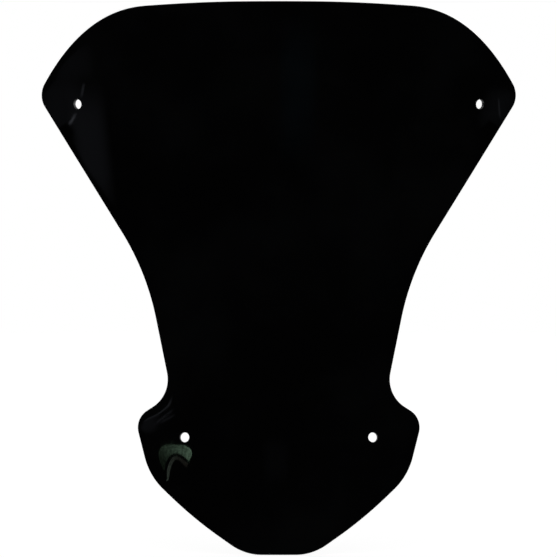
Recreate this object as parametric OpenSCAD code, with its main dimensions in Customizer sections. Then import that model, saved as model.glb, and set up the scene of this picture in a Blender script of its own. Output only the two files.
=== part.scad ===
// Windshield screen of an adventure-touring motorcycle: one sheet, trimmed, drilled and formed.
// The outer face looks along -Y, the screen stands on its chin, and X = 0 is its mirror plane.
// Outline places are half widths from the mirror plane, and heights or drops on the outer face.

/* [Sheet] */
// Thickness of the sheet
sheet_thickness = 3; // [2:0.5:5]
// Height from the lowest point of the screen to the highest
screen_height = 448; // [420:1:500]
// Radius of the outer face around the upright bending axis, halfway up
wrap_radius = 300; // [270:5:420]
// Radius of the gentle hollow that the outer face has from top to bottom
hollow_radius = 1400; // [1000:50:3000]

/* [Top edge and brow] */
// Half width at which the level top edge and its fall to the brow would meet
crown_half_width = 58; // [50:1:70]
// Radius that joins them
crown_radius = 1900; // [800:50:1950]
// Half width at which the top edge and the shoulder would meet if the brow weren't rounded
brow_half_width = 159.5; // [150:0.5:170]
// Drop of that point below the top
brow_drop = 3; // [1:0.5:8]
// How far before that point the brow starts to curve
brow_run_in = 50; // [25:1:50]
// How far past that point the brow runs into the straight shoulder
brow_run_out = 67; // [40:1:67]

/* [Wings] */
// Half width at which the shoulder and the flank would meet if the wing tip weren't rounded
wing_half_width = 203; // [195:0.5:215]
// Drop of that point below the top
wing_drop = 70; // [60:0.5:90]
// Radius of the wing tip
wing_radius = 18; // [8:1:25]

/* [Flanks and waist] */
// Half width at the bend of the flank
flank_half_width = 109; // [100:1:120]
// Height of the bend of the flank
flank_height = 228.5; // [215:0.5:245]
// Radius of the bend of the flank
flank_radius = 214; // [120:2:260]
// Half width at the corner of the waist
waist_half_width = 88; // [80:0.5:95]
// Height of the corner of the waist
waist_height = 128; // [123:0.5:140]
// Radius of the hollow of the waist
waist_radius = 27; // [15:1:32]

/* [Ears and lower edge] */
// Half width at the corner of the ear
ear_half_width = 118.5; // [112:0.5:126]
// Height of the corner of the ear
ear_height = 108; // [103:0.5:113]
// Radius of the ear's corner
ear_radius = 16.5; // [8:0.5:22]
// Half width at the corner under the ear
hip_half_width = 106; // [100:0.5:112]
// Height of the corner under the ear
hip_height = 61.5; // [55:0.5:68]
// Radius of the corner under the ear
hip_radius = 53; // [30:1:75]
// Half width at the bend of the lower edge
belly_half_width = 69; // [62:0.5:75]
// Height of the bend of the lower edge
belly_height = 28; // [24:0.5:32]
// Radius of the bend of the lower edge
belly_radius = 360; // [150:5:450]
// Half width at which the lower edge meets the flat chin
chin_half_width = 27.5; // [22:0.5:34]
// Radius of the chin's corner
chin_radius = 44; // [20:1:60]

/* [Mounting holes] */
// Diameter of the four holes
hole_diameter = 8; // [5:0.5:12]
// How far the upper holes lie inwards of the wing's corner
upper_hole_inset = 35.5; // [30:0.5:50]
// How far the upper holes lie below the wing's corner
upper_hole_drop = 9; // [0:0.5:20]
// How far the lower holes lie inwards of the ear's corner
lower_hole_inset = 41.5; // [25:0.5:60]
// How far the lower holes lie below the ear's corner
lower_hole_drop = 14.5; // [10:0.5:30]

/* [Hidden] */

// The outline's longest step, and the widest turn that one step takes in a rounded corner
edge_step = 9;
step_turn = 6;
// The share of the shoulder that the brow may curve, and the wing's tip takes the rest
brow_share = 0.84;
// How far a cut runs past the faces of the sheet, and the facets of a full circle
cut_clearance = 1;
face_facets = 256;
// The widest turn of the blank to each side, which the outline then trims
blank_turn = 75;

// The outer face leans at its ends, so the inner face's edges reach past it by a little each way
face_height = screen_height * hollow_radius / (hollow_radius + sheet_thickness);
mid_height = face_height / 2;
chin_lift = (screen_height - face_height) / 2;

// The outer face: x is across, u is the height above the middle of the face
function forward(u) = hollow_radius - sqrt(pow(hollow_radius, 2) - u * u);
function turn_radius(u) = wrap_radius + forward(u);
function turn(x, u) = asin(x / turn_radius(u));
function lean(u) = asin(u / hollow_radius);
function face_point(x, u) = [x, wrap_radius - turn_radius(u) * cos(turn(x, u)), u];
function face_normal(x, u) =
    [sin(turn(x, u)) * cos(lean(u)), -cos(turn(x, u)) * cos(lean(u)), -sin(lean(u))];
function beside_face(p, out) = face_point(p.x, p.y) + out * face_normal(p.x, p.y);

// Corners of the right half of the outline, from the mirror plane at the top down to the chin
top_middle = [0, mid_height];
crown = [crown_half_width, mid_height];
brow = [brow_half_width, mid_height - brow_drop];
wing = [wing_half_width, mid_height - wing_drop];
flank = [flank_half_width, flank_height - mid_height];
waist = [waist_half_width, waist_height - mid_height];
ear = [ear_half_width, ear_height - mid_height];
hip = [hip_half_width, hip_height - mid_height];
belly = [belly_half_width, belly_height - mid_height];
chin = [chin_half_width, -mid_height];
chin_middle = [0, -mid_height];

function unit(v) = v / norm(v);
function steps_along(swing, length) = ceil(max(abs(swing) / step_turn, length / edge_step));

// An arc at the corner b of the path a, b, c, which takes no more than its share of each side
function arc_corner(a, b, c, radius, share_in = 0.5, share_out = 0.5) = let (
        back = unit(a - b),
        on = unit(c - b),
        half = acos(back * on) / 2,
        reach = min(radius / tan(half), share_in * norm(a - b), share_out * norm(c - b)),
        r = reach * tan(half),
        middle = b + unit(back + on) * r / sin(half),
        first = b + back * reach - middle,
        last = b + on * reach - middle,
        start = atan2(first.y, first.x),
        swing = (atan2(last.y, last.x) - start + 540) % 360 - 180,
        steps = steps_along(swing, r * abs(swing) * PI / 180))
    [for (k = [0 : steps]) let (w = start + swing * k / steps) middle + r * [cos(w), sin(w)]];

// A parabola at the corner b, from run_in before it to run_out past it, within the same shares
function eased_corner(a, b, c, run_in, run_out, share_in = 0.5, share_out = 0.5) = let (
        first = b + unit(a - b) * min(run_in, share_in * norm(a - b)),
        last = b + unit(c - b) * min(run_out, share_out * norm(c - b)),
        steps = steps_along(0, norm(first - b) + norm(last - b)))
    [for (k = [0 : steps]) let (t = k / steps)
        first * pow(1 - t, 2) + b * 2 * t * (1 - t) + last * t * t];

half_corners = concat(
    [top_middle],
    arc_corner(top_middle, crown, brow, crown_radius),
    eased_corner(crown, brow, wing, brow_run_in, brow_run_out, 0.5, brow_share),
    arc_corner(brow, wing, flank, wing_radius, 1 - brow_share, 0.5),
    arc_corner(wing, flank, waist, flank_radius),
    arc_corner(flank, waist, ear, waist_radius),
    arc_corner(waist, ear, hip, ear_radius),
    arc_corner(ear, hip, belly, hip_radius),
    arc_corner(hip, belly, chin, belly_radius),
    arc_corner(belly, chin, chin_middle, chin_radius),
    [chin_middle]);

// The straight stretches are divided, so that the cut follows the curved face
right_edge = [for (i = [0 : len(half_corners) - 2]) let (
        from = half_corners[i],
        to = half_corners[i + 1],
        parts = ceil(norm(to - from) / edge_step))
    for (k = [0 : parts - 1]) from + (to - from) * k / parts];
outline = concat(
    right_edge,
    [chin_middle],
    [for (i = [len(right_edge) - 1 : -1 : 1]) [-right_edge[i].x, right_edge[i].y]]);

holes = [for (side = [-1, 1])
    each [[side * (wing.x - upper_hole_inset), wing.y - upper_hole_drop],
          [side * (ear.x - lower_hole_inset), ear.y - lower_hole_drop]]];

// The screen's depth, from the front of its top and chin to the back of its wings
front_y = -forward(mid_height);
back_y = max([for (p = outline) beside_face(p, -sheet_thickness).y]);

// The sheet before trimming: a true revolved wall between two faces of one centre
module blank() {
    translate([0, wrap_radius, 0])
        rotate([0, 0, -90 - blank_turn])
            rotate_extrude(angle = 2 * blank_turn, $fn = face_facets)
                intersection() {
                    translate([wrap_radius + hollow_radius, 0])
                        difference() {
                            circle(r = hollow_radius + sheet_thickness, $fn = face_facets);
                            circle(r = hollow_radius, $fn = face_facets);
                        }
                    translate([wrap_radius / 2, -screen_height])
                        square([wrap_radius, 2 * screen_height]);
                }
}

// The trimming cut: its walls cross the sheet square to both faces, all along the outline
module trim() {
    reach = cut_clearance + screen_height;
    before = [for (p = outline) beside_face(p, cut_clearance)];
    behind = [for (p = outline) beside_face(p, -sheet_thickness - cut_clearance)];
    points = concat(
        [for (q = before) [q.x, -reach, q.z]],
        before,
        behind,
        [for (q = behind) [q.x, reach, q.z]],
        [[0, -reach, waist.y], [0, reach, waist.y]]);
    count = len(outline);
    hubs = 4 * count;
    faces = [for (i = [0 : count - 1]) let (next = (i + 1) % count)
        each [
            [hubs, i, next],
            for (ring = [0 : count : 2 * count])
                each [[ring + i, ring + i + count, ring + next + count],
                      [ring + i, ring + next + count, ring + next]],
            [hubs + 1, 3 * count + next, 3 * count + i]]];
    polyhedron(points = points, faces = faces);
}

module hole(place) {
    length = sheet_thickness + 2 * cut_clearance + hole_diameter;
    translate(face_point(place.x, place.y))
        rotate([90 + lean(place.y), 0, turn(place.x, place.y)])
            translate([0, 0, -(length + sheet_thickness) / 2])
                cylinder(d = hole_diameter, h = length, $fn = 72);
}

module screen_panel() {
    color([0.03, 0.03, 0.035])
        translate([0, -(front_y + back_y) / 2, mid_height + chin_lift])
            difference() {
                intersection() {
                    blank();
                    trim();
                }
                for (place = holes) hole(place);
            }
}

screen_panel();
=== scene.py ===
"""The finished looks of a motorcycle windshield screen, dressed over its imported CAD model.

The screen is one formed sheet of gloss black acrylic. Its faces, its rounded edge and the rims of
its four holes are worked out again here, finely enough for the gloss, from the sizes of the part.
"""

import math
from dataclasses import dataclass

import bpy
import numpy as np
from bpy.props import FloatProperty, FloatVectorProperty, IntProperty, PointerProperty
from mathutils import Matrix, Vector
from mathutils.bvhtree import BVHTree
from mathutils.geometry import delaunay_2d_cdt


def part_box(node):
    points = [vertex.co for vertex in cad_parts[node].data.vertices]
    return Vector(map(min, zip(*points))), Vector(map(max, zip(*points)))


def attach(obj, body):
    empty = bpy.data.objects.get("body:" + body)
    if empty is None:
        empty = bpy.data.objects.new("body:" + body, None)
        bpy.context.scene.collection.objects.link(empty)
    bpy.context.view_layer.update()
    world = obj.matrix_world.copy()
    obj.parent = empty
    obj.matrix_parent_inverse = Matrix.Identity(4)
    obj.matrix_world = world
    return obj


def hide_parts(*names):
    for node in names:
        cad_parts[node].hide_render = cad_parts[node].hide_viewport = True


bl_info = {
    "name": "Windshield screen",
    "version": (1, 0, 0),
    "blender": (4, 5, 0),
    "location": "View3D > Sidebar > Screen",
    "description": "Dresses the CAD model of a motorcycle windshield screen for its photograph",
    "category": "Object",
}

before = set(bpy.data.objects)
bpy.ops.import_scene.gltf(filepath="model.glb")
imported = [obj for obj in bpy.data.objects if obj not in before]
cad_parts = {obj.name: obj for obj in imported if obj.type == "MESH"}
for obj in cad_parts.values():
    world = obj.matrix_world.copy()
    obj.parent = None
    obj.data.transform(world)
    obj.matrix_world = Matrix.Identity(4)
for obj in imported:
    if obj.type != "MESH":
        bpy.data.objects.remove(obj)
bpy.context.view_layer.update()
LOWEST, HIGHEST = (Vector(corner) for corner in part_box("screen_panel"))

# The photograph's frame, and the places in it that the camera and the reflections go by
IMAGE_W = 557
IMAGE_H = 557
IMAGE_POINTS = {
    "left": (42.0, 94.0),
    "right": (516.1, 94.0),
    "top": (278.7, 1.0),
    "bottom": (278.0, 555.0),
    "upper_left_hole": (78.5, 106.2),
    "upper_right_hole": (478.1, 102.3),
    "lower_left_hole": (185.1, 436.6),
    "lower_right_hole": (372.1, 437.6),
    "left_waist": (167.0, 378.0),
    "right_waist": (390.6, 378.0),
    "left_ear": (138.4, 425.0),
    "right_ear": (419.4, 425.0),
    "hook_reflection": (174.5, 452.6),
    "hole_streak": (72.3, 119.5),
    "wing_streak": (82.5, 90.5),
    "wing_line": (498.6, 109.0),
    "ear_streak": (158.0, 412.0),
    "wing_band": (93.0, 132.0),
    "crown_band": (298.0, 90.0),
    "chin_patch": (276.0, 459.0),
}

# Corners of the right half of the outline, as in the part's source, and how each is rounded:
# half width, drop below the top, and a radius, or the runs of a curve before and after the corner
UPPER_CORNERS = {
    "crown": (0.058, 0.0, 1.9),
    "brow": (0.1595, 0.003, (0.050, 0.067)),
    "wing": (0.203, 0.070, 0.018),
}
# half width, height above the foot, and a radius
LOWER_CORNERS = {
    "flank": (0.109, 0.2285, 0.214),
    "waist": (0.088, 0.128, 0.027),
    "ear": (0.1185, 0.108, 0.0165),
    "hip": (0.106, 0.0615, 0.053),
    "belly": (0.069, 0.028, 0.360),
    "chin": (0.0275, 0.0, 0.044),
}
# How far the holes lie inwards of the wing's and the ear's corner, and below it
UPPER_HOLE = (0.0355, 0.009)
LOWER_HOLE = (0.0415, 0.0145)

# Rows of mesh points that follow the outline: every how many of its points, and how far inside it.
# A point is left out where a corner brings it nearer to the outline than a share of that.
EDGE_ROWS = ((1, 0.0015), (1, 0.0026), (2, 0.0041), (2, 0.0060), (2, 0.0084))
ROW_SHARE = 0.85
# How far inside the outline the grid starts, and how far from the holes any such point stays
GRID_INSET = 0.011
HOLE_MARGIN = 0.0012
# The triangulation covers the whole convex hull, and merges points that are nearer than this
CDT_WHOLE_HULL, CDT_EPSILON = 0, 1e-9


class SheetSizes(bpy.types.PropertyGroup):
    """Sizes of the formed sheet, as in the part's source."""

    thickness: FloatProperty(
        name="Thickness", description="Thickness of the sheet",
        default=0.003, min=0.001, max=0.006, unit="LENGTH", precision=4)
    wrap_radius: FloatProperty(
        name="Wrap radius", description="Radius of the outer face around the upright axis, halfway up",
        default=0.3, min=0.2, max=0.6, unit="LENGTH")
    hollow_radius: FloatProperty(
        name="Hollow radius", description="Radius of the outer face's gentle hollow from top to bottom",
        default=1.4, min=0.8, max=4.0, unit="LENGTH")
    hole_diameter: FloatProperty(
        name="Hole diameter", description="Diameter of the four mounting holes",
        default=0.008, min=0.004, max=0.014, unit="LENGTH", precision=4)
    edge_rounding: FloatProperty(
        name="Edge rounding", description="Radius of the polished outer edge, front and back",
        default=0.0004, min=0.0002, max=0.0014, unit="LENGTH", precision=4)
    hole_rounding: FloatProperty(
        name="Hole rounding", description="Radius of the broken edges of the holes",
        default=0.0003, min=0.0001, max=0.001, unit="LENGTH", precision=4)
    roll_depth: FloatProperty(
        name="Edge roll", description="How far the face falls away close to the heated, polished edge",
        default=0.00012, min=0.0, max=0.0006, unit="LENGTH", precision=5)
    roll_width: FloatProperty(
        name="Edge roll width", description="How far in from the edge that fall is felt",
        default=0.0035, min=0.001, max=0.01, unit="LENGTH", precision=4)


class MeshSteps(bpy.types.PropertyGroup):
    """How finely the sheet is divided."""

    face: FloatProperty(
        name="Face step", description="Distance between neighbouring points inside the faces",
        default=0.004, min=0.002, max=0.02, unit="LENGTH", precision=4)
    edge: FloatProperty(
        name="Edge step", description="Distance between neighbouring points along the outline",
        default=0.0015, min=0.0005, max=0.01, unit="LENGTH", precision=4)
    round_steps: IntProperty(
        name="Rounding steps", description="Steps across one rounded edge", default=5, min=2, max=12)


class Finish(bpy.types.PropertyGroup):
    """Colours and surface of the acrylic."""

    dye: FloatVectorProperty(
        name="Black", description="Colour of the dyed sheet", subtype="COLOR",
        default=(0.0003, 0.0003, 0.00034), min=0.0, max=1.0)
    haze: FloatVectorProperty(
        name="Haze", description="Colour of the sheet under its faint wiping haze", subtype="COLOR",
        default=(0.0011, 0.0012, 0.0013), min=0.0, max=1.0)
    edge: FloatVectorProperty(
        name="Edge", description="Colour of the sawn and polished edge", subtype="COLOR",
        default=(0.016, 0.0165, 0.018), min=0.0, max=1.0)
    roughness: FloatProperty(
        name="Roughness", description="Roughness of the clean gloss", default=0.02, min=0.0, max=1.0)


class Studio(bpy.types.PropertyGroup):
    """The camera and the light."""

    camera_distance: FloatProperty(
        name="Camera distance", description="From the camera to the front of the screen",
        default=2.0, min=1.0, max=6.0, unit="LENGTH")
    light: FloatProperty(
        name="Light", description="Strength of the soft white light from all sides",
        default=1.0, min=0.0, max=10.0)
    backlight: FloatProperty(
        name="Back light", description="Strength of the light that edges and back reflect",
        default=1.0, min=0.0, max=10.0)
    room: FloatProperty(
        name="Room", description="Strength of what the faces reflect of the dark room in front",
        default=0.007, min=0.0, max=1.0)
    floor: FloatVectorProperty(
        name="Floor", description="Colour of the pale floor", subtype="COLOR",
        default=(0.12, 0.12, 0.12), min=0.0, max=1.0)
    floor_glow: FloatProperty(
        name="Floor glow", description="Light of the floor itself, as on a photographer's light table",
        default=0.9, min=0.0, max=4.0)


# ---------------------------------------------------------------------------------------------
# Shape of the formed sheet
# ---------------------------------------------------------------------------------------------

class Form:
    """The outer face: a wrap around an upright axis, hollowed from top to bottom.

    A place on it is (x, u): across, and up from its middle. The meridian is a circle of the hollow
    radius H, so the face comes forward by H - sqrt(H^2 - u^2), and the wrap's radius there is
    W + that. The depth is y = W - sqrt(radius^2 - x^2), before the shift that centres the part.
    """

    def __init__(self, sizes):
        self.wrap = sizes.wrap_radius
        self.hollow = sizes.hollow_radius
        self.thickness = sizes.thickness
        height = HIGHEST.z - LOWEST.z
        self.face_height = height * self.hollow / (self.hollow + self.thickness)
        self.middle = self.face_height / 2
        self.lift = LOWEST.z + height / 2
        self.shift = LOWEST.y + self.forward(self.middle)

    def forward(self, u):
        """How far the face comes forward at a height: H - sqrt(H^2 - u^2)."""
        return self.hollow - np.sqrt(self.hollow ** 2 - np.square(u))

    def points(self, places):
        """The points of the outer face at (x, u) places."""
        x, u = places[..., 0], places[..., 1]
        radius = self.wrap + self.forward(u)
        depth = self.wrap - np.sqrt(radius ** 2 - x ** 2) + self.shift
        return np.stack([x, depth, u + self.lift], -1)

    def normals(self, places):
        """The outward normals there: the turn's sine and cosine, leaned by asin(u / H)."""
        x, u = places[..., 0], places[..., 1]
        sine = x / (self.wrap + self.forward(u))
        lean = u / self.hollow
        level = np.sqrt(1 - lean ** 2)
        return np.stack([sine * level, -np.sqrt(1 - sine ** 2) * level, -lean], -1)

    def places(self, points):
        """The (x, u) places of points on or near the face."""
        return np.stack([points[..., 0], points[..., 2] - self.lift], -1)


def unit(vectors):
    """Vectors over their lengths."""
    return vectors / np.linalg.norm(vectors, axis=-1, keepdims=True)


def arc_corner(before, corner, after, radius, steps=48):
    """An arc that rounds a corner, no longer than half of its shorter side."""
    back, on = unit(before - corner), unit(after - corner)
    half = math.acos(float(back @ on)) / 2
    shorter = min(np.linalg.norm(before - corner), np.linalg.norm(after - corner))
    reach = min(radius / math.tan(half), shorter / 2)
    radius = reach * math.tan(half)
    middle = corner + unit(back + on) * radius / math.sin(half)
    first, last = corner + back * reach - middle, corner + on * reach - middle
    start = math.atan2(first[1], first[0])
    swing = (math.atan2(last[1], last[0]) - start + 3 * math.pi) % (2 * math.pi) - math.pi
    angle = start + swing * np.linspace(0, 1, steps + 1)
    return middle + radius * np.stack([np.cos(angle), np.sin(angle)], -1)


def eased_corner(before, corner, after, runs, steps=96):
    """A parabola that rounds a corner, tangent to its sides where the two runs end."""
    first = corner + unit(before - corner) * runs[0]
    last = corner + unit(after - corner) * runs[1]
    t = np.linspace(0, 1, steps + 1)[:, None]
    return first * (1 - t) ** 2 + corner * 2 * t * (1 - t) + last * t ** 2


def outline_places(form, step):
    """The outline as (x, u) places, clockwise as the outer face is seen, at an even step.

    The right half runs from the mirror plane at the top to the chin. Its corners are rounded as in
    the part's source, and the left half mirrors it.
    """
    ends = [(0.0, form.middle)]
    ends += [(x, form.middle - drop) for x, drop, rounding in UPPER_CORNERS.values()]
    ends += [(x, height - form.middle) for x, height, rounding in LOWER_CORNERS.values()]
    ends = np.array(ends + [(0.0, -form.middle)])
    roundings = [corner[2] for corner in (*UPPER_CORNERS.values(), *LOWER_CORNERS.values())]
    pieces = [ends[:1]]
    for index, rounding in enumerate(roundings):
        corner = eased_corner if isinstance(rounding, tuple) else arc_corner
        pieces.append(corner(*ends[index:index + 3], rounding))
    line = np.concatenate(pieces + [ends[-1:]])
    along = np.concatenate([[0], np.cumsum(np.linalg.norm(np.diff(line, axis=0), axis=1))])
    at = np.linspace(0, along[-1], int(round(along[-1] / step)) + 1)
    right = np.stack([np.interp(at, along, line[:, 0]), np.interp(at, along, line[:, 1])], -1)
    left = right[-2:0:-1] * (-1, 1)
    return np.concatenate([right, left])


def hole_centres(form):
    """The four holes' places: under the wing corners, and in the ears."""
    wing, ear = UPPER_CORNERS["wing"], LOWER_CORNERS["ear"]
    upper = np.array([wing[0] - UPPER_HOLE[0], form.middle - wing[1] - UPPER_HOLE[1]])
    lower = np.array([ear[0] - LOWER_HOLE[0], ear[1] - LOWER_HOLE[1] - form.middle])
    return {
        "upper_left_hole": upper * (-1, 1),
        "upper_right_hole": upper,
        "lower_left_hole": lower * (-1, 1),
        "lower_right_hole": lower,
    }


def hole_places(form, centre, diameter, steps=72):
    """A hole's rim on the outer face: a true circle square to the sheet, seen anticlockwise."""
    normal = form.normals(centre)
    across = unit(np.cross(normal, (0.0, 0.0, -1.0)))
    up = np.cross(across, normal)
    angle = np.linspace(0, 2 * np.pi, steps, endpoint=False)[:, None]
    ring = form.points(centre) + diameter / 2 * (across * np.cos(angle) - up * np.sin(angle))
    return form.places(ring)


def outwards(form, path):
    """The direction out of the sheet along a closed path: its normal crossed with the path's."""
    base = form.points(path)
    tangent = unit(np.roll(base, -1, axis=0) - np.roll(base, 1, axis=0))
    return unit(np.cross(form.normals(path), tangent))


def rim(form, path, rounding, steps, fall=0.0):
    """The edge of the sheet along a closed path: a rounded profile carried along it.

    Across, the profile runs from the outer face over a quarter circle, down the wall and over a
    second quarter circle to the inner face. Its two axes at each point of the path are the face's
    normal and the direction out of the sheet. Both faces lie lower at the edge by the fall.
    """
    normal, out = form.normals(path), outwards(form, path)
    angle = np.linspace(np.pi / 2, 0, steps + 1)
    front = np.stack([np.cos(angle) - 1, np.sin(angle) - 1], -1) * rounding
    turns = np.concatenate([angle, -angle[::-1]])
    back = front[::-1] * (1, -1) - (0, form.thickness - fall)
    profile = np.concatenate([front - (0, fall), back])
    points = form.points(path) + profile[:, None, :1] * out + profile[:, None, 1:] * normal
    normals = np.cos(turns)[:, None, None] * out + np.sin(turns)[:, None, None] * normal
    return points, normals


def inside(places, path):
    """Which places lie inside a closed path, by the crossings of a level line."""
    x, y = places[:, None, 0], places[:, None, 1]
    x0, y0 = path[:, 0], path[:, 1]
    x1, y1 = np.roll(x0, -1), np.roll(y0, -1)
    spans = (y0 > y) != (y1 > y)
    rise = np.where(y1 == y0, 1.0, y1 - y0)
    crossing = x0 + (y - y0) * (x1 - x0) / rise
    return (np.sum(spans & (x < crossing), axis=1) % 2).astype(bool)


def nearest(points, ends):
    """How far each point is from the nearest of some ends, and which end that is."""
    square = (points ** 2).sum(-1)[:, None] + (ends ** 2).sum(-1) - 2 * points @ ends.T
    index = square.argmin(axis=1)
    return np.linalg.norm(points - ends[index], axis=1), index


def face_places(form, outline, holes, step):
    """Places inside the face: rows that follow the outline, and a staggered grid within them."""
    base, out = form.points(outline), outwards(form, outline)
    found = []
    for spacing, inset in EDGE_ROWS:
        row = form.places(base - out * inset)[::spacing]
        found.append(row[nearest(row, outline)[0] > inset * ROW_SHARE])
    low, high = outline.min(axis=0), outline.max(axis=0)
    rows = np.arange(low[1], high[1], step * math.sqrt(3) / 2)
    x, u = np.meshgrid(np.arange(low[0], high[0], step), rows)
    x = x + (np.arange(len(rows)) % 2)[:, None] * step / 2
    grid = np.stack([x.ravel(), u.ravel()], -1)
    grid = grid[inside(grid, outline)]
    found.append(grid[nearest(grid, outline)[0] > GRID_INSET])
    found = np.concatenate(found)
    return found[nearest(found, np.concatenate(holes))[0] > HOLE_MARGIN]


def triangles_between(places, loops, outline, holes):
    """Triangles over a flat region with holes, joined without crossing its loops."""
    edges = []
    for first, count in loops:
        ring = first + np.arange(count)
        edges += np.stack([ring, np.roll(ring, -1)], -1).tolist()
    flat = [Vector(place) for place in places.tolist()]
    _, _, faces, origin, _, _ = delaunay_2d_cdt(flat, edges, [], CDT_WHOLE_HULL, CDT_EPSILON)
    original = np.array([sources[0] for sources in origin])
    corners = original[np.array(faces)]
    middles = places[corners].mean(axis=1)
    kept = inside(middles, outline)
    for hole in holes:
        kept &= ~inside(middles, hole)
    return corners[kept]


def rim_quads(points, first):
    """The four-sided faces of one rim's grid of points, and their places along and across it."""
    levels, around = points.shape[:2]
    index = first + np.arange(levels * around).reshape(levels, around)
    on = np.roll(index, -1, axis=1)
    quads = np.stack([index[:-1], on[:-1], on[1:], index[1:]], -1).reshape(-1, 4)
    along = np.cumsum(np.linalg.norm(np.roll(points[0], -1, axis=0) - points[0], axis=1))
    rise = np.cumsum(np.linalg.norm(np.diff(points[:, 0], axis=0), axis=1))
    start, low = np.concatenate([[0], along[:-1]]), np.concatenate([[0], rise[:-1]])
    u = np.broadcast_to(np.stack([start, along, along, start], -1), (levels - 1, around, 4))
    v = np.broadcast_to(np.stack([low, low, rise, rise], -1)[:, None], (levels - 1, around, 4))
    return quads, np.stack([u, v], -1).reshape(-1, 2)


def filled_mesh(name, vertices, faces, uvs, uv_name, materials):
    """A smooth mesh from arrays: groups of faces of equal size, their UVs and material numbers."""
    mesh = bpy.data.meshes.new(name)
    mesh.vertices.add(len(vertices))
    mesh.vertices.foreach_set("co", vertices.ravel())
    corners = np.concatenate([group.ravel() for group in faces])
    counts = np.concatenate([np.full(len(group), group.shape[1]) for group in faces])
    mesh.loops.add(len(corners))
    mesh.loops.foreach_set("vertex_index", corners)
    mesh.polygons.add(len(counts))
    mesh.polygons.foreach_set("loop_start", (np.cumsum(counts) - counts).astype(np.int32))
    numbers = np.repeat(materials, [len(group) for group in faces])
    mesh.polygons.foreach_set("material_index", numbers)
    mesh.polygons.foreach_set("use_smooth", np.ones(len(counts), dtype=bool))
    mesh.uv_layers.new(name=uv_name).uv.foreach_set("vector", uvs.astype(np.float32).ravel())
    mesh.update(calc_edges=True)
    mesh.validate()
    return mesh


def inner_faces(form, sizes, outline, places):
    """The front's and the back's points and normals at some places inside the face.

    Near the edge both faces fall by depth * exp(-(distance / width)^2), and lean by its slope.
    """
    base, normal = form.points(places), form.normals(places)
    distance, index = nearest(base, form.points(outline))
    fall = (sizes.roll_depth * np.exp(-(distance / sizes.roll_width) ** 2))[:, None]
    slope = 2 * distance[:, None] / sizes.roll_width ** 2 * fall
    lean = outwards(form, outline)[index] * slope
    points = [base - normal * fall, base - normal * (form.thickness - fall)]
    return points, [unit(normal + lean), unit(lean - normal)]


def sheet_mesh(form, sizes, steps):
    """The whole sheet as one closed mesh: two faces, the outer edge and four bored rims."""
    outline = outline_places(form, steps.edge)
    centres = hole_centres(form).values()
    holes = [hole_places(form, centre, sizes.hole_diameter) for centre in centres]
    rims = [rim(form, outline, sizes.edge_rounding, steps.round_steps, sizes.roll_depth)]
    rims += [rim(form, hole, sizes.hole_rounding, steps.round_steps) for hole in holes]
    inner = face_places(form, outline, holes, steps.face)
    rings = [form.places(points[0]) for points, normals in rims]
    starts = np.cumsum([0] + [len(ring) for ring in rings])
    loops = [(int(start), len(ring)) for start, ring in zip(starts, rings)]
    corners = triangles_between(np.concatenate(rings + [inner]), loops, rings[0], rings[1:])

    # The rims' points come first, then those inside the front, then those inside the back
    vertices, normals, quads, uvs, front, back = [], [], [], [], [], []
    count = 0
    for points, directions in rims:
        levels, around = points.shape[:2]
        rim_faces, rim_uvs = rim_quads(points, count)
        quads.append(rim_faces)
        uvs.append(rim_uvs)
        front.append(count + np.arange(around))
        back.append(count + (levels - 1) * around + np.arange(around))
        vertices.append(points.reshape(-1, 3))
        normals.append(directions.reshape(-1, 3))
        count += levels * around
    front.append(count + np.arange(len(inner)))
    back.append(front[-1] + len(inner))
    inner_points, inner_normals = inner_faces(form, sizes, outline, inner)
    vertices = np.concatenate(vertices + inner_points)
    normals = np.concatenate(normals + inner_normals)
    triangles = np.concatenate([
        np.concatenate(front)[corners], np.concatenate(back)[corners[:, ::-1]]])
    uvs.append(vertices[triangles.ravel()][:, [0, 2]])
    faces = [np.concatenate(quads), triangles]
    mesh = filled_mesh("screen_sheet", vertices, faces, np.concatenate(uvs), "sheet", [1, 0])
    mesh.normals_split_custom_set_from_vertices(normals.tolist())
    return mesh


# ---------------------------------------------------------------------------------------------
# Shader maths
# ---------------------------------------------------------------------------------------------

class Value:
    """A number socket that adds a Math node for each operator used on it."""

    def __init__(self, nodes, socket):
        self.nodes = nodes
        self.socket = socket

    def _math(self, operation, first, second=0.0):
        return self.nodes.add("ShaderNodeMath", {"operation": operation}, {0: first, 1: second})

    def __add__(self, other):
        return self._math("ADD", self, other)

    def __radd__(self, other):
        return self._math("ADD", other, self)

    def __sub__(self, other):
        return self._math("SUBTRACT", self, other)

    def __rsub__(self, other):
        return self._math("SUBTRACT", other, self)

    def __mul__(self, other):
        return self._math("MULTIPLY", self, other)

    def __rmul__(self, other):
        return self._math("MULTIPLY", other, self)

    def parts(self):
        """The three numbers of a vector."""
        first = self.nodes.add("ShaderNodeSeparateXYZ", {}, {0: self})
        return [Value(self.nodes, output) for output in first.socket.node.outputs]

    def smooth(self, low, high):
        """Rises smoothly from 0 at low to 1 at high."""
        return self.nodes.add(
            "ShaderNodeMapRange", {"interpolation_type": "SMOOTHSTEP"},
            {"Value": self, "From Min": low, "From Max": high})


class Nodes:
    """A node tree that is filled by one method."""

    def __init__(self, tree):
        self.tree = tree
        tree.nodes.clear()

    def add(self, kind, settings=None, inputs=None, output=0):
        """Adds a node: its settings first, then a value or a link for each named input."""
        node = self.tree.nodes.new(kind)
        for name, value in (settings or {}).items():
            setattr(node, name, value)
        for name, value in (inputs or {}).items():
            socket = node.inputs[name]
            if isinstance(value, Value):
                self.tree.links.new(value.socket, socket)
            else:
                socket.default_value = value
        return Value(self, node.outputs[output]) if len(node.outputs) else None


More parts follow.
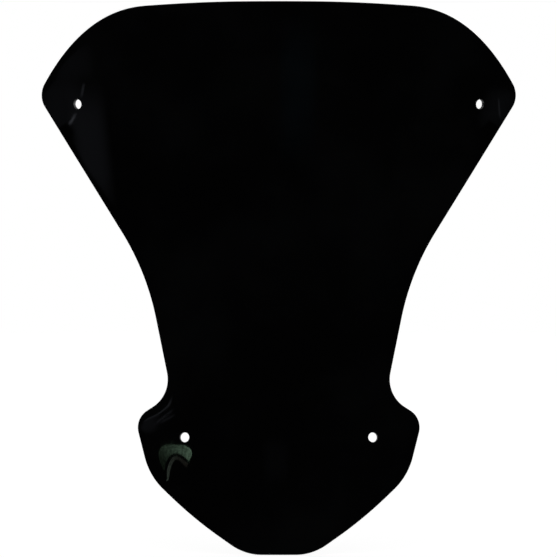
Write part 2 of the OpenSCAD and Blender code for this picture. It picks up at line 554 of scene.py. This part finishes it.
def object_noise(nodes, scale, detail=2.0, roughness=0.5, stretch=(1.0, 1.0, 1.0), distortion=0.0):
    """Noise over the object's own coordinates, about 0.5, with features of 1 / scale metres."""
    place = nodes.add("ShaderNodeTexCoord", output="Object")
    place = nodes.add("ShaderNodeMapping", {}, {"Vector": place, "Scale": stretch})
    return nodes.add("ShaderNodeTexNoise", {}, {
        "Vector": place, "Scale": scale, "Detail": detail, "Roughness": roughness,
        "Distortion": distortion})


def mixed_colour(nodes, share, first, last):
    """A colour between two others, which are sockets or plain colours."""
    ends = [colour if isinstance(colour, Value) else (*colour, 1.0) for colour in (first, last)]
    return nodes.add(
        "ShaderNodeMix", {"data_type": "RGBA"}, {0: share, 6: ends[0], 7: ends[1]}, output=2)


def new_material(name):
    """An empty material and its nodes."""
    material = bpy.data.materials.new(name)
    material.use_nodes = True
    return material, Nodes(material.node_tree)


ACRYLIC_IOR = 1.49


def gloss_black(finish):
    """Dyed acrylic under a deep gloss: faint dye clouds, wiping haze, hairlines and a slow wave."""
    material, nodes = new_material("gloss_black_acrylic")
    clouds = object_noise(nodes, scale=9.0, detail=3.0, roughness=0.55).smooth(0.42, 0.68)
    wiping = object_noise(
        nodes, scale=26.0, detail=4.0, roughness=0.6, stretch=(0.35, 1.0, 1.4), distortion=0.6)
    wiping = wiping.smooth(0.5, 0.8)
    # Hairline marks run across the sheet and up it
    across = object_noise(nodes, scale=900.0, detail=1.0, roughness=0.4, stretch=(0.03, 1.0, 1.0))
    up = object_noise(nodes, scale=1100.0, detail=1.0, roughness=0.4, stretch=(1.0, 1.0, 0.025))
    marks = across.smooth(0.66, 0.74) * 0.05 + up.smooth(0.68, 0.76) * 0.04
    roughness = finish.roughness + wiping * 0.03 + clouds * 0.01 + marks
    wave = object_noise(nodes, scale=7.0, detail=1.0, roughness=0.4)
    bump = nodes.add("ShaderNodeBump", {}, {"Strength": 0.25, "Distance": 0.0012, "Height": wave})
    shader = nodes.add("ShaderNodeBsdfPrincipled", {}, {
        "Base Color": mixed_colour(nodes, clouds * 0.7 + wiping * 0.3, finish.dye, finish.haze),
        "Roughness": roughness, "IOR": ACRYLIC_IOR, "Normal": bump})
    nodes.add("ShaderNodeOutputMaterial", {}, {"Surface": shader})
    return material


def polished_edge(finish):
    """The sheet's edge: sawn, scraped and flame polished, softer than the faces, with fine marks."""
    material, nodes = new_material("polished_acrylic_edge")
    place = nodes.add("ShaderNodeUVMap", {"uv_map": "sheet"})
    stretched = nodes.add("ShaderNodeMapping", {}, {"Vector": place, "Scale": (1.0, 0.08, 1.0)})
    marks = nodes.add("ShaderNodeTexNoise", {}, {"Vector": stretched, "Scale": 1600.0, "Detail": 3.0})
    patches = object_noise(nodes, scale=60.0)
    bump = nodes.add("ShaderNodeBump", {}, {"Strength": 0.3, "Distance": 0.00008, "Height": marks})
    shader = nodes.add("ShaderNodeBsdfPrincipled", {}, {
        "Base Color": mixed_colour(nodes, marks * 0.6 + patches * 0.3, finish.dye, finish.edge),
        "Roughness": 0.16 + marks * 0.12 + patches * 0.06, "IOR": ACRYLIC_IOR, "Normal": bump})
    nodes.add("ShaderNodeOutputMaterial", {}, {"Surface": shader})
    return material


# ---------------------------------------------------------------------------------------------
# Camera rays, and what they show
# ---------------------------------------------------------------------------------------------

# In pixels: how close to its end an edge is measured
EDGE_REACH = 0.3
# How far across and down from its image point a bend of the sides is looked for, in rows this high
BEND_WINDOW, BEND_ROW = (40, 18), 3
# How far across and down from its image point a reflection is looked for, and the rays' step
REFLECTION_WINDOW, RAY_STEP = (32, 100), 2


def image_ray(camera, place):
    """The ray of an image place: the camera's place, and its direction turned into the scene."""
    x, y = place
    length = max(IMAGE_W, IMAGE_H)
    data = camera.data
    direction = Vector((
        x - IMAGE_W / 2 + data.shift_x * length,
        IMAGE_H / 2 - y + data.shift_y * length,
        -length * data.lens / data.sensor_width))
    return camera.location, (camera.rotation_euler.to_matrix() @ direction).normalized()


def surface_tree(piece):
    """A search tree of a piece's finished surface."""
    return BVHTree.FromObject(piece, bpy.context.evaluated_depsgraph_get())


def place_on(camera, tree, points, place):
    """Where an image place's ray meets a surface, or else the point of it nearest the ray."""
    origin, direction = image_ray(camera, place)
    found = tree.ray_cast(origin, direction)[0]
    if found is None:
        offset = points - np.array(origin)
        along = offset @ np.array(direction)
        off = np.linalg.norm(offset - along[:, None] * np.array(direction), axis=1)
        found = points[off.argmin()]
    return np.array(found)


def shown(camera, points):
    """Where points show in the image: their place in the camera's axes over their depth."""
    turned = (points - np.array(camera.location)) @ np.array(camera.rotation_euler.to_matrix())
    length = max(IMAGE_W, IMAGE_H)
    data = camera.data
    scale = length * data.lens / data.sensor_width / -turned[:, 2]
    return np.stack([
        IMAGE_W / 2 - data.shift_x * length + turned[:, 0] * scale,
        IMAGE_H / 2 + data.shift_y * length - turned[:, 1] * scale], -1)


def vertex_points(piece):
    """A mesh's points as one array."""
    points = np.empty(len(piece.data.vertices) * 3)
    piece.data.vertices.foreach_get("co", points)
    return points.reshape(-1, 3)


def hole_shows_at(camera, points, form, centre, radius):
    """The middle of what shows through a hole: where its two mouths' boxes overlap."""
    normal = form.normals(centre)
    offset = points - form.points(centre)
    depth = offset @ normal
    # The points of the bore's wall, to a hundredth of its radius
    bore = np.linalg.norm(offset - depth[:, None] * normal, axis=1) < radius * 1.01
    boxes = []
    for mouth in (depth > -form.thickness / 2, depth < -form.thickness / 2):
        ring = shown(camera, points[bore & mouth])
        boxes.append((ring.min(axis=0), ring.max(axis=0)))
    return (np.maximum(boxes[0][0], boxes[1][0]) + np.minimum(boxes[0][1], boxes[1][1])) / 2


def side_shows_at(places, name):
    """Where the side of the silhouette bends most in or out near a point of the given name."""
    sign = -1 if name.startswith("left") else 1
    band = places[(np.abs(places - IMAGE_POINTS[name]) < BEND_WINDOW).all(axis=1)]
    reach = band[:, 0] * sign
    rows = np.round(band[:, 1] / BEND_ROW).astype(int)
    ends = [np.flatnonzero(rows == row)[reach[rows == row].argmax()] for row in np.unique(rows)]
    bend = reach[ends].argmin() if name.endswith("waist") else reach[ends].argmax()
    return band[ends[bend]]


def reflection_shows_at(camera, sheet_tree, card, form, name):
    """The middle of the image places whose rays reach a light card after the face turns them.

    The rolled edge, which shows the same card once more as a thin line, is left out of it.
    """
    tree = surface_tree(card)
    x, y = IMAGE_POINTS[name]
    reach_x, reach_y = REFLECTION_WINDOW
    places, met = [], []
    for down in range(-reach_y, reach_y + 1, RAY_STEP):
        for across in range(-reach_x, reach_x + 1, RAY_STEP):
            point = sheet_tree.ray_cast(*image_ray(camera, (x + across, y + down)))[0]
            if point is not None:
                places.append((x + across, y + down))
                met.append(point)
    on_face = form.places(np.array(met))
    starts, ends = form.points(on_face), thrown(form, on_face, camera, 1.0)
    hits = [place for place, start, end in zip(places, starts, ends)
            if tree.ray_cast(Vector(start), Vector(end - start))[0] is not None]
    return np.mean(hits, axis=0) if hits else np.array((math.nan, math.nan))


def write_points(camera, sheet, cards, form, sizes):
    """Works out how far in x and y each named thing shows from its image point; the numbers are not
    written anywhere.
    """
    points = vertex_points(sheet)
    places = shown(camera, points)
    measured = {}
    for name, axis, sign in (("left", 0, -1), ("right", 0, 1), ("top", 1, -1), ("bottom", 1, 1)):
        reach = places[:, axis] * sign
        measured[name] = places[reach > reach.max() - EDGE_REACH].mean(axis=0)
    for name, centre in hole_centres(form).items():
        measured[name] = hole_shows_at(camera, points, form, centre, sizes.hole_diameter / 2)
    for name in ("left_waist", "right_waist", "left_ear", "right_ear"):
        measured[name] = side_shows_at(places, name)
    tree = surface_tree(sheet)
    for name, card in cards.items():
        measured[name] = reflection_shows_at(camera, tree, card, form, name)
    off = {name: [round(float(value), 2) for value in measured[name] - IMAGE_POINTS[name]]
           for name in IMAGE_POINTS}


# ---------------------------------------------------------------------------------------------
# Light cards, which only the gloss sees
# ---------------------------------------------------------------------------------------------

def smooth_line(ends, count):
    """A curve through points, with slopes set by their neighbours.

    Between b and c, with a before them and d after them, and t from 0 to 1, it is
    b + (t (c - a) + t^2 (2a - 5b + 4c - d) + t^3 (3b - a - 3c + d)) / 2.
    """
    ends = np.array(ends)
    spans = len(ends) - 1
    ends = np.concatenate([2 * ends[:1] - ends[1:2], ends, 2 * ends[-1:] - ends[-2:-1]])
    at = np.linspace(0, spans, count)
    index = np.minimum(at.astype(int), spans - 1)
    t = (at - index)[:, None]
    a, b, c, d = (ends[index + shift] for shift in range(4))
    square, cube = 2 * a - 5 * b + 4 * c - d, 3 * b - a - 3 * c + d
    return b + (t * (c - a) + t ** 2 * square + t ** 3 * cube) / 2


def ribbon(first, last, rows=5, columns=40):
    """A grid between two curves: each column runs straight from the one to the other."""
    across = np.linspace(0, 1, rows)[:, None, None]
    return smooth_line(first, columns) * (1 - across) + smooth_line(last, columns) * across


def patch(width, height, lean=0.0, rise=0.0, steps=9):
    """A grid of a width and a height, leaning over by a length at the top and rising to the right."""
    x, u = np.meshgrid(np.linspace(-0.5, 0.5, steps), np.linspace(-0.5, 0.5, steps))
    return np.stack([x * width + u * lean, u * height + x * rise], -1)


def thrown(form, places, camera, distance):
    """Where camera rays that meet the face at some places go on to, once they are reflected.

    A ray d turns over about the normal n, to d - 2 (d . n) n, and goes on for the distance.
    """
    points, normals = form.points(places), form.normals(places)
    rays = unit(points - np.array(camera.location))
    turned = rays - 2 * (rays * normals).sum(-1, keepdims=True) * normals
    return points + turned * distance


COLD_GREY, NIGHT_BLUE = (0.82, 0.86, 1.0), (0.3, 0.7, 1.0)
GREEN_GREY, DIM_GREEN = (0.62, 1.0, 0.68), (0.05, 0.08, 0.05)
LIP_GREY, LIP_BROWN = (0.74, 0.94, 0.76), (0.24, 0.23, 0.19)


@dataclass
class CardPlan:
    """A light card: its image point, its grid on the face, its light and how far off it hangs.

    Its colour goes from the first to the last along it. A soft card fades to nothing at its ends. A
    hard one is mottled, and a little brighter where it begins across.
    """

    point: str
    grid: np.ndarray
    strength: float
    first: tuple = COLD_GREY
    last: tuple = COLD_GREY
    distance: float = 0.35
    soft: bool = True


def card_mesh(name, points):
    """A grid of points as a mesh, with places along and across it as its UVs."""
    rows, columns = points.shape[:2]
    index = np.arange(rows * columns).reshape(rows, columns)
    faces = np.stack([
        index[:-1, :-1], index[:-1, 1:], index[1:, 1:], index[1:, :-1]], -1).reshape(-1, 4)
    v, u = np.meshgrid(np.linspace(0, 1, rows), np.linspace(0, 1, columns), indexing="ij")
    uvs = np.stack([u.ravel(), v.ravel()], -1)[faces.ravel()]
    return filled_mesh(name, points.reshape(-1, 3), [faces], uvs, "card", [0])


def glow(name, plan):
    """The light of a card, as a material over its own UV map."""
    material, nodes = new_material(name)
    place = nodes.add("ShaderNodeUVMap", {"uv_map": "card"})
    along, across, _ = place.parts()
    colour = mixed_colour(nodes, along.smooth(0.1, 0.9), plan.first, plan.last)
    if plan.soft:
        light = nodes.add("ShaderNodeEmission", {}, {"Color": colour, "Strength": plan.strength})
        clear = nodes.add("ShaderNodeBsdfTransparent")
        fade = (along * (1 - along) * 4).smooth(0.0, 1.0) * (across * (1 - across) * 4).smooth(0.0, 1.0)
        light = nodes.add("ShaderNodeMixShader", {}, {0: fade, 1: clear, 2: light})
    else:
        stretched = nodes.add("ShaderNodeMapping", {}, {"Vector": place, "Scale": (4.0, 1.0, 1.0)})
        mottle = nodes.add("ShaderNodeTexNoise", {}, {"Vector": stretched, "Scale": 5.0, "Detail": 3.0})
        shade = mottle.smooth(0.25, 0.75) * 0.55 + across.smooth(0.0, 0.16) * 0.3
        colour = mixed_colour(nodes, shade, colour, (0.0, 0.0, 0.0))
        light = nodes.add("ShaderNodeEmission", {}, {"Color": colour, "Strength": plan.strength})
    nodes.add("ShaderNodeOutputMaterial", {}, {"Surface": light})
    return material


# In metres on the face, from a reflection's image point: the two sides of a ribbon
HOOK = [
    (-0.0089, -0.0152), (-0.0124, -0.0072), (-0.0130, 0.0002), (-0.0088, 0.0046), (-0.0006, 0.0056),
    (0.0077, 0.0050), (0.0129, 0.0024), (0.0141, -0.0024), (0.0119, -0.0068)]
HOOK_HOLLOW = [
    (-0.0083, -0.0154), (-0.0071, -0.0090), (-0.0040, -0.0036), (0.0000, -0.0012), (0.0044, -0.0018),
    (0.0085, -0.0044), (0.0114, -0.0071)]
LIP = [
    (-0.0076, -0.0262), (-0.0062, -0.0222), (-0.0063, -0.0164), (-0.0046, -0.0096), (-0.0010, -0.0044),
    (0.0030, -0.0042), (0.0077, -0.0068), (0.0111, -0.0096)]
LIP_HOLLOW = [
    (-0.0070, -0.0264), (-0.0049, -0.0224), (-0.0040, -0.0164), (-0.0022, -0.0104), (0.0004, -0.0067),
    (0.0030, -0.0067), (0.0067, -0.0096), (0.0098, -0.0126)]
EAR_ARC = [
    (-0.0194, 0.0004), (-0.0125, 0.0009), (-0.0073, 0.0004), (-0.0023, 0.0012), (0.0029, 0.0041),
    (0.0070, 0.0072), (0.0085, 0.0109), (0.0088, 0.0154)]
EAR_ARC_HOLLOW = [
    (-0.0194, -0.0080), (-0.0117, -0.0068), (-0.0057, -0.0056), (-0.0001, -0.0025), (0.0051, 0.0013),
    (0.0096, 0.0050), (0.0119, 0.0101), (0.0122, 0.0154)]
# Cards that are farther off show behind the nearer ones. A point is its first card's middle.
REFLECTIONS = {
    "hook": CardPlan(
        "hook_reflection", ribbon(HOOK, HOOK_HOLLOW), 3.52, DIM_GREEN, GREEN_GREY, soft=False),
    "hook_lip": CardPlan(
        "hook_reflection", ribbon(LIP, LIP_HOLLOW), 1.44, LIP_GREY, LIP_BROWN, soft=False),
    "hole_streak": CardPlan("hole_streak", patch(0.0032, 0.014, 0.0085) + (-0.0004, -0.0006), 0.6),
    "wing_streak": CardPlan("wing_streak", patch(0.0030, 0.013, 0.003), 0.22),
    "wing_line": CardPlan("wing_line", patch(0.0022, 0.020, -0.002) + (0.0008, 0.0005), 0.16),
    "ear_streak": CardPlan("ear_streak", ribbon(EAR_ARC, EAR_ARC_HOLLOW), 0.29),
    "ear_line": CardPlan("ear_streak", patch(0.020, 0.003, 0.0, 0.016) + (0.0040, -0.0048), 0.18),
    "ear_low_line": CardPlan("ear_streak", patch(0.015, 0.0026, 0.0, 0.009) + (0.0077, -0.0057), 0.13),
    "ear_glow": CardPlan("ear_streak", patch(0.026, 0.020, 0.0, 0.010) + (-0.010, -0.011), 0.07),
    "left_tip_glow": CardPlan(
        "hole_streak", patch(0.044, 0.060) + (-0.0099, 0.0125), 0.055, distance=0.7),
    "shoulder_glow": CardPlan(
        "wing_streak", patch(0.040, 0.034) + (-0.0073, 0.0218), 0.04, distance=0.7),
    "right_tip_glow": CardPlan(
        "wing_line", patch(0.034, 0.046, 0.014) + (-0.0010, 0.0002), 0.045, distance=0.7),
    "wing_band": CardPlan(
        "wing_band", patch(0.038, 0.120, -0.012) + (-0.0018, -0.0125), 0.09, distance=0.6),
    "crown_band": CardPlan("crown_band", patch(0.036, 0.130), 0.025, NIGHT_BLUE, NIGHT_BLUE, 0.6),
    "chin_patch": CardPlan("chin_patch", patch(0.026, 0.040), 0.025, distance=0.6),
}


# ---------------------------------------------------------------------------------------------
# Stage
# ---------------------------------------------------------------------------------------------

FLOOR_HALF = 8.0
# How bright the parts of the room that only the gloss sees are, at a back light of 1
RIGHT_BOX, ITS_OUTER_SIDE, LEFT_BOX, WALL = 0.8, 2.0, 1.2, 0.16
ABOVE, BELOW = 0.6, 0.6


def pale_floor(studio):
    """A level square at the foot of the screen, which the gloss doesn't see."""
    mesh = bpy.data.meshes.new("floor")
    corners = FLOOR_HALF * np.array([(-1, -1), (1, -1), (1, 1), (-1, 1)])
    mesh.from_pydata([(x, y, LOWEST.z) for x, y in corners.tolist()], [], [(0, 1, 2, 3)])
    material, nodes = new_material("floor")
    shader = nodes.add("ShaderNodeBsdfPrincipled", {}, {
        "Base Color": (*studio.floor, 1.0), "Roughness": 0.9, "Specular IOR Level": 0.0,
        "Emission Color": (1.0, 1.0, 1.0, 1.0), "Emission Strength": studio.floor_glow})
    nodes.add("ShaderNodeOutputMaterial", {}, {"Surface": shader})
    mesh.materials.append(material)
    floor = bpy.data.objects.new("floor", mesh)
    floor.visible_glossy = False
    return floor


def studio_world(studio):
    """White light from all sides, and another room that only the gloss sees.

    In front that room is dark. Behind the screen a dim wall has two tall soft boxes, and it is white
    above and below, all at angles that the photograph's view of the faces never turns to.
    """
    world = bpy.data.worlds.new("studio")
    world.use_nodes = True
    nodes = Nodes(world.node_tree)
    right, behind, up = nodes.add("ShaderNodeTexCoord").parts()
    # Each box runs upright between two sines of the angle across, and fades at its sides
    right_level = right.smooth(0.84, 0.90) * ITS_OUTER_SIDE + RIGHT_BOX
    right_box = right.smooth(0.54, 0.66) * (1 - right.smooth(0.95, 0.99)) * right_level
    left_box = right.smooth(-0.58, -0.66) * (1 - right.smooth(-0.80, -0.86)) * LEFT_BOX
    wall = behind.smooth(0.05, 0.35) * (right_box + left_box + WALL)
    lit = wall + (-0.26 - up).smooth(0.0, 0.5) * BELOW + up.smooth(0.40, 0.85) * ABOVE
    white = nodes.add("ShaderNodeBackground", {}, {
        "Color": (1.0, 1.0, 1.0, 1.0), "Strength": studio.light})
    gloss = nodes.add("ShaderNodeBackground", {}, {"Strength": lit * studio.backlight + studio.room})
    mixed = nodes.add("ShaderNodeMixShader", {}, {
        0: nodes.add("ShaderNodeLightPath", output="Is Glossy Ray"), 1: white, 2: gloss})
    nodes.add("ShaderNodeOutputWorld", {}, {"Surface": mixed})
    return world


# ---------------------------------------------------------------------------------------------
# Operators
# ---------------------------------------------------------------------------------------------

class SCREEN_OT_camera(bpy.types.Operator):
    """Set the camera where the photograph was taken from."""

    bl_idname = "screen.camera"
    bl_label = "Camera"

    def execute(self, context):
        studio = context.scene.screen_studio
        top, bottom = IMAGE_POINTS["top"][1], IMAGE_POINTS["bottom"][1]
        height = HIGHEST.z - LOWEST.z
        pixels_per_metre = (bottom - top) / height
        # The mirror plane shows midway between the sides, the holes, the waists and the ears
        pairs = [x for name, (x, y) in IMAGE_POINTS.items() if "left" in name or "right" in name]
        data = bpy.data.cameras.new("camera")
        data.sensor_fit = "AUTO"
        data.sensor_width = 36.0
        # The top and the foot show at the sheet's far edge, a thickness behind its nearest point
        reach = studio.camera_distance + context.scene.screen_sizes.thickness
        data.lens = data.sensor_width * pixels_per_metre * reach / IMAGE_W
        data.clip_end = 50.0
        camera = bpy.data.objects.new("camera", data)
        camera.rotation_euler = (math.pi / 2, 0.0, 0.0)
        camera.location = (
            (IMAGE_W / 2 - sum(pairs) / len(pairs)) / pixels_per_metre,
            LOWEST.y - studio.camera_distance,
            LOWEST.z + height / 2 + ((top + bottom) / 2 - IMAGE_H / 2) / pixels_per_metre)
        context.collection.objects.link(camera)
        context.scene.camera = camera
        return {"FINISHED"}


class SCREEN_OT_sheet(bpy.types.Operator):
    """Make the formed sheet with its rounded edge and bored holes, in place of the plain solid."""

    bl_idname = "screen.sheet"
    bl_label = "Sheet"

    def execute(self, context):
        scene = context.scene
        form = Form(scene.screen_sizes)
        mesh = sheet_mesh(form, scene.screen_sizes, scene.screen_steps)
        mesh.materials.append(gloss_black(scene.screen_finish))
        mesh.materials.append(polished_edge(scene.screen_finish))
        sheet = bpy.data.objects.new("screen_sheet", mesh)
        context.collection.objects.link(sheet)
        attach(sheet, "root")
        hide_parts("screen_panel")
        return {"FINISHED"}


class SCREEN_OT_stage(bpy.types.Operator):
    """Lay the pale floor and set the soft studio light: white all round, and dark to the gloss."""

    bl_idname = "screen.stage"
    bl_label = "Stage"

    def execute(self, context):
        studio = context.scene.screen_studio
        floor = pale_floor(studio)
        context.collection.objects.link(floor)
        context.scene.world = studio_world(studio)
        context.scene.view_settings.view_transform = "Standard"
        return {"FINISHED"}


class SCREEN_OT_reflections(bpy.types.Operator):
    """Hang the light cards whose reflections show on the face where the photograph has them."""

    bl_idname = "screen.reflections"
    bl_label = "Reflections"

    def execute(self, context):
        scene = context.scene
        form = Form(scene.screen_sizes)
        sheet = bpy.data.objects["screen_sheet"]
        tree, points = surface_tree(sheet), vertex_points(sheet)
        first_cards = {}
        for name, plan in REFLECTIONS.items():
            centre = form.places(place_on(scene.camera, tree, points, IMAGE_POINTS[plan.point]))
            mesh = card_mesh(name, thrown(form, plan.grid + centre, scene.camera, plan.distance))
            mesh.materials.append(glow(name, plan))
            card = bpy.data.objects.new(name, mesh)
            card.visible_camera = card.visible_diffuse = card.visible_shadow = False
            context.collection.objects.link(card)
            first_cards.setdefault(plan.point, card)
        write_points(scene.camera, sheet, first_cards, form, scene.screen_sizes)
        return {"FINISHED"}


class SCREEN_PT_panel(bpy.types.Panel):
    """Lists the sizes, colours and steps of the windshield screen."""

    bl_idname = "SCREEN_PT_panel"
    bl_label = "Windshield screen"
    bl_space_type = "VIEW_3D"
    bl_region_type = "UI"
    bl_category = "Screen"

    def draw(self, context):
        for group in GROUPS:
            settings = getattr(context.scene, group)
            box = self.layout.box()
            for name in settings.bl_rna.properties.keys():
                if name not in ("rna_type", "name"):
                    box.prop(settings, name)
        for operator in OPERATORS:
            self.layout.operator(operator.bl_idname)


OPERATORS = (SCREEN_OT_camera, SCREEN_OT_sheet, SCREEN_OT_stage, SCREEN_OT_reflections)
GROUPS = {
    "screen_sizes": SheetSizes, "screen_steps": MeshSteps,
    "screen_finish": Finish, "screen_studio": Studio}
CLASSES = (*GROUPS.values(), *OPERATORS, SCREEN_PT_panel)


def register():
    """Registers the classes, and gives the scene each group of settings."""
    for kind in CLASSES:
        bpy.utils.register_class(kind)
    for name, kind in GROUPS.items():
        setattr(bpy.types.Scene, name, PointerProperty(type=kind))


def unregister():
    """Takes both away again."""
    for name in GROUPS:
        delattr(bpy.types.Scene, name)
    for kind in reversed(CLASSES):
        bpy.utils.unregister_class(kind)


def main():
    """Registers the add-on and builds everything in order."""
    register()
    bpy.ops.screen.camera()
    bpy.ops.screen.sheet()
    bpy.ops.screen.stage()
    bpy.ops.screen.reflections()


if __name__ == "__main__":
    main()
